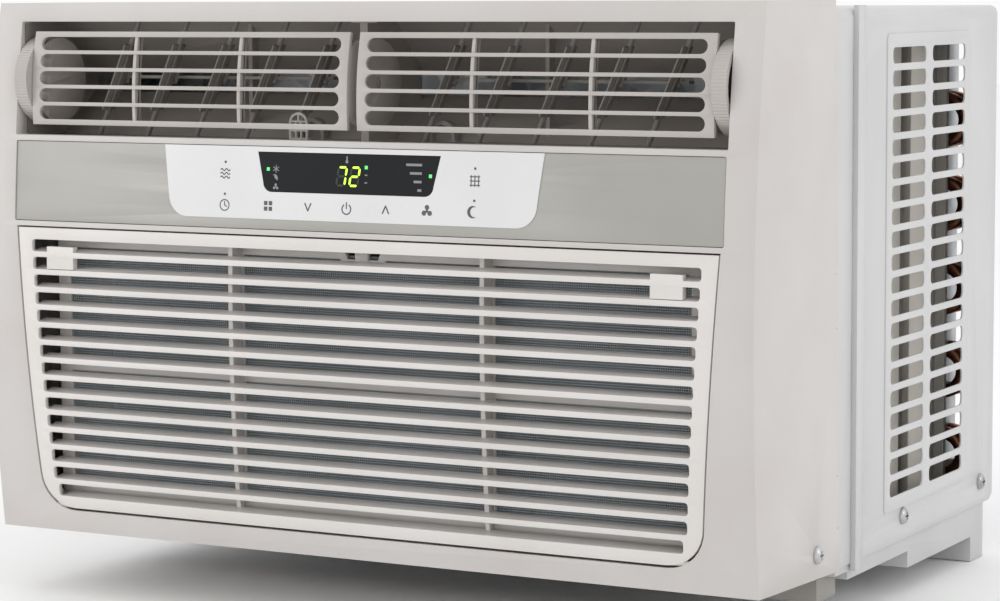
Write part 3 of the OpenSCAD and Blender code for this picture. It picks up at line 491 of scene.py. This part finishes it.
def key_marks():
    """One plain pictogram for each key, in place of words."""
    # clock for the timer
    clock_z = LOW_Z - 0.4
    hands = [(-OUTER_X, clock_z + 2), (-OUTER_X, clock_z), (1.4 - OUTER_X, clock_z - 0.8)]
    loops = stroke(bow(-OUTER_X, clock_z, 2.9, 0, 345, 20), INK, True) + stroke(hands, INK)
    # three wavy lines for clean air
    for rise in (-2, 0, 2):
        wave = [(0.5 * i - 3 - OUTER_X, 243.2 + rise + 0.6 * math.sin(i * 1.05)) for i in range(13)]
        loops += stroke(wave, INK)
    # four tiles for the mode
    tile = 2.2
    for x in (-51.7, -48.7):
        for z in (223.9, 226.9):
            loops.append([(x, z), (x + tile, z), (x + tile, z + tile), (x, z + tile)])
    # chevrons, down and up
    for x, start_z, mid_z in ((-ARROW_X, 228.6, 224.6), (ARROW_X, 224.6, 228.6)):
        loops += stroke([(x - 1.9, start_z), (x, mid_z), (x + 1.9, start_z)], 0.75)
    # power symbol
    loops += stroke(bow(0, LOW_Z - 0.4, 2.7, 125, 415, 20), 0.65)
    loops += stroke([(0, LOW_Z + 3.2), (0, LOW_Z - 0.2)], 0.65)
    loops += fan_symbol(FAN_X, LOW_Z, 3.4)
    # grid for the filter
    grid_z, reach = 243, 2.9
    for k in (-2.2, 0, 2.2):
        loops += stroke([(OUTER_X - reach, grid_z + k), (OUTER_X + reach, grid_z + k)], INK)
        loops += stroke([(OUTER_X + k, grid_z - reach), (OUTER_X + k, grid_z + reach)], INK)
    # crescent for sleep
    outer, inner = bow(76.2, 227, 3.2, 52.7, 307.3, 16), bow(77.4, 227, 2.65, 286.2, 73.8, 16)
    return loops + [outer + inner]


mark("key_pictograms", key_marks(), 0.08, printed_ink, "overlay_film")
DOTS = ((-OUTER_X, 249.4), (-OUTER_X, 232.2), (OUTER_X, 249.4), (OUTER_X, 232.8))
mark("key_indicator_dots", [disc(x, z, 0.7) for x, z in DOTS], 0.08, printed_ink, "overlay_film")

SEG_W, SEG_H, SLANT, STROKE = 5.0, 9.6, 0.14, 1.15


def segments(x0, z0, on):
    """Seven-segment digit: a top, b and c right, d bottom, e and f left, g middle."""
    w, h = SEG_W, SEG_H
    ends = {"a": ((0, h), (w, h)), "b": ((w, h), (w, h / 2)), "c": ((w, h / 2), (w, 0)),
            "d": ((0, 0), (w, 0)), "e": ((0, h / 2), (0, 0)), "f": ((0, h), (0, h / 2)),
            "g": ((0, h / 2), (w, h / 2))}
    loops = []
    for key in on:
        (ax, az), (bx, bz) = ends[key]
        length = math.hypot(bx - ax, bz - az)
        ux, uz = (bx - ax) / length, (bz - az) / length
        gap = 0.35
        ax, az, bx, bz = ax + ux * gap, az + uz * gap, bx - ux * gap, bz - uz * gap
        k = STROKE / 2
        shape = [(ax, az), (ax + ux * k - uz * k, az + uz * k + ux * k),
                 (bx - ux * k - uz * k, bz - uz * k + ux * k), (bx, bz),
                 (bx - ux * k + uz * k, bz - uz * k - ux * k), (ax + ux * k + uz * k, az + uz * k - ux * k)]
        loops.append([(x0 + x + z * SLANT, z0 + z) for x, z in shape])
    return loops


DIGIT_Z = 238.6
TENS_X, UNITS_X = -6.6, 1.4
lit_loops = segments(TENS_X, DIGIT_Z, "abc") + segments(UNITS_X, DIGIT_Z, "abged")
unlit_loops = segments(TENS_X, DIGIT_Z, "defg") + segments(UNITS_X, DIGIT_Z, "cf")
mark("display_digits", lit_loops, 0.03, segment_green, "smoked_lens")
mark("display_unlit_segments", unlit_loops, 0.04, segment_off, "smoked_lens")
LAMPS = ((-49.5, 246.2), (11.6, 248.4), (50.6, 244.8))
mark("display_green_dots", [[(x - 0.9, z - 0.9), (x + 0.9, z - 0.9), (x + 0.9, z + 0.9), (x - 0.9, z + 0.9)]
                            for x, z in LAMPS], 0.03, dot_green, "smoked_lens")


def window_marks():
    """Small symbols beside the lamps: cooling, saving and fan on the left, four fan speeds on the right."""
    loops = snowflake(-44.5, 246.4, 2.0, 0.45) + fan_symbol(-44.5, 236.8, 1.9)
    loops.append(bow(-45.3, 241.6, 1.9, -40, 130, 10) + bow(-43.6, 242.6, 1.9, 170, 290, 10))
    for i in range(4):
        z = 236.6 + i * 4.4
        loops.append([(45.4 - 2.4 * (i + 1), z), (45.4, z), (45.4, z + 1.3), (45.4 - 2.4 * (i + 1), z + 1.3)])
    # thermometer over the digits, and tick marks beside them
    loops += [disc(-0.4, 251.2, 0.9), [(-0.8, 251.4), (0, 251.4), (0, 254), (-0.8, 254)]]
    loops += [[(10.8, z), (12.4, z), (12.4, z + 0.7), (10.8, z + 0.7)] for z in (244, 240)]
    return loops


mark("display_symbols", window_marks(), 0.04, pale_ink, "smoked_lens")
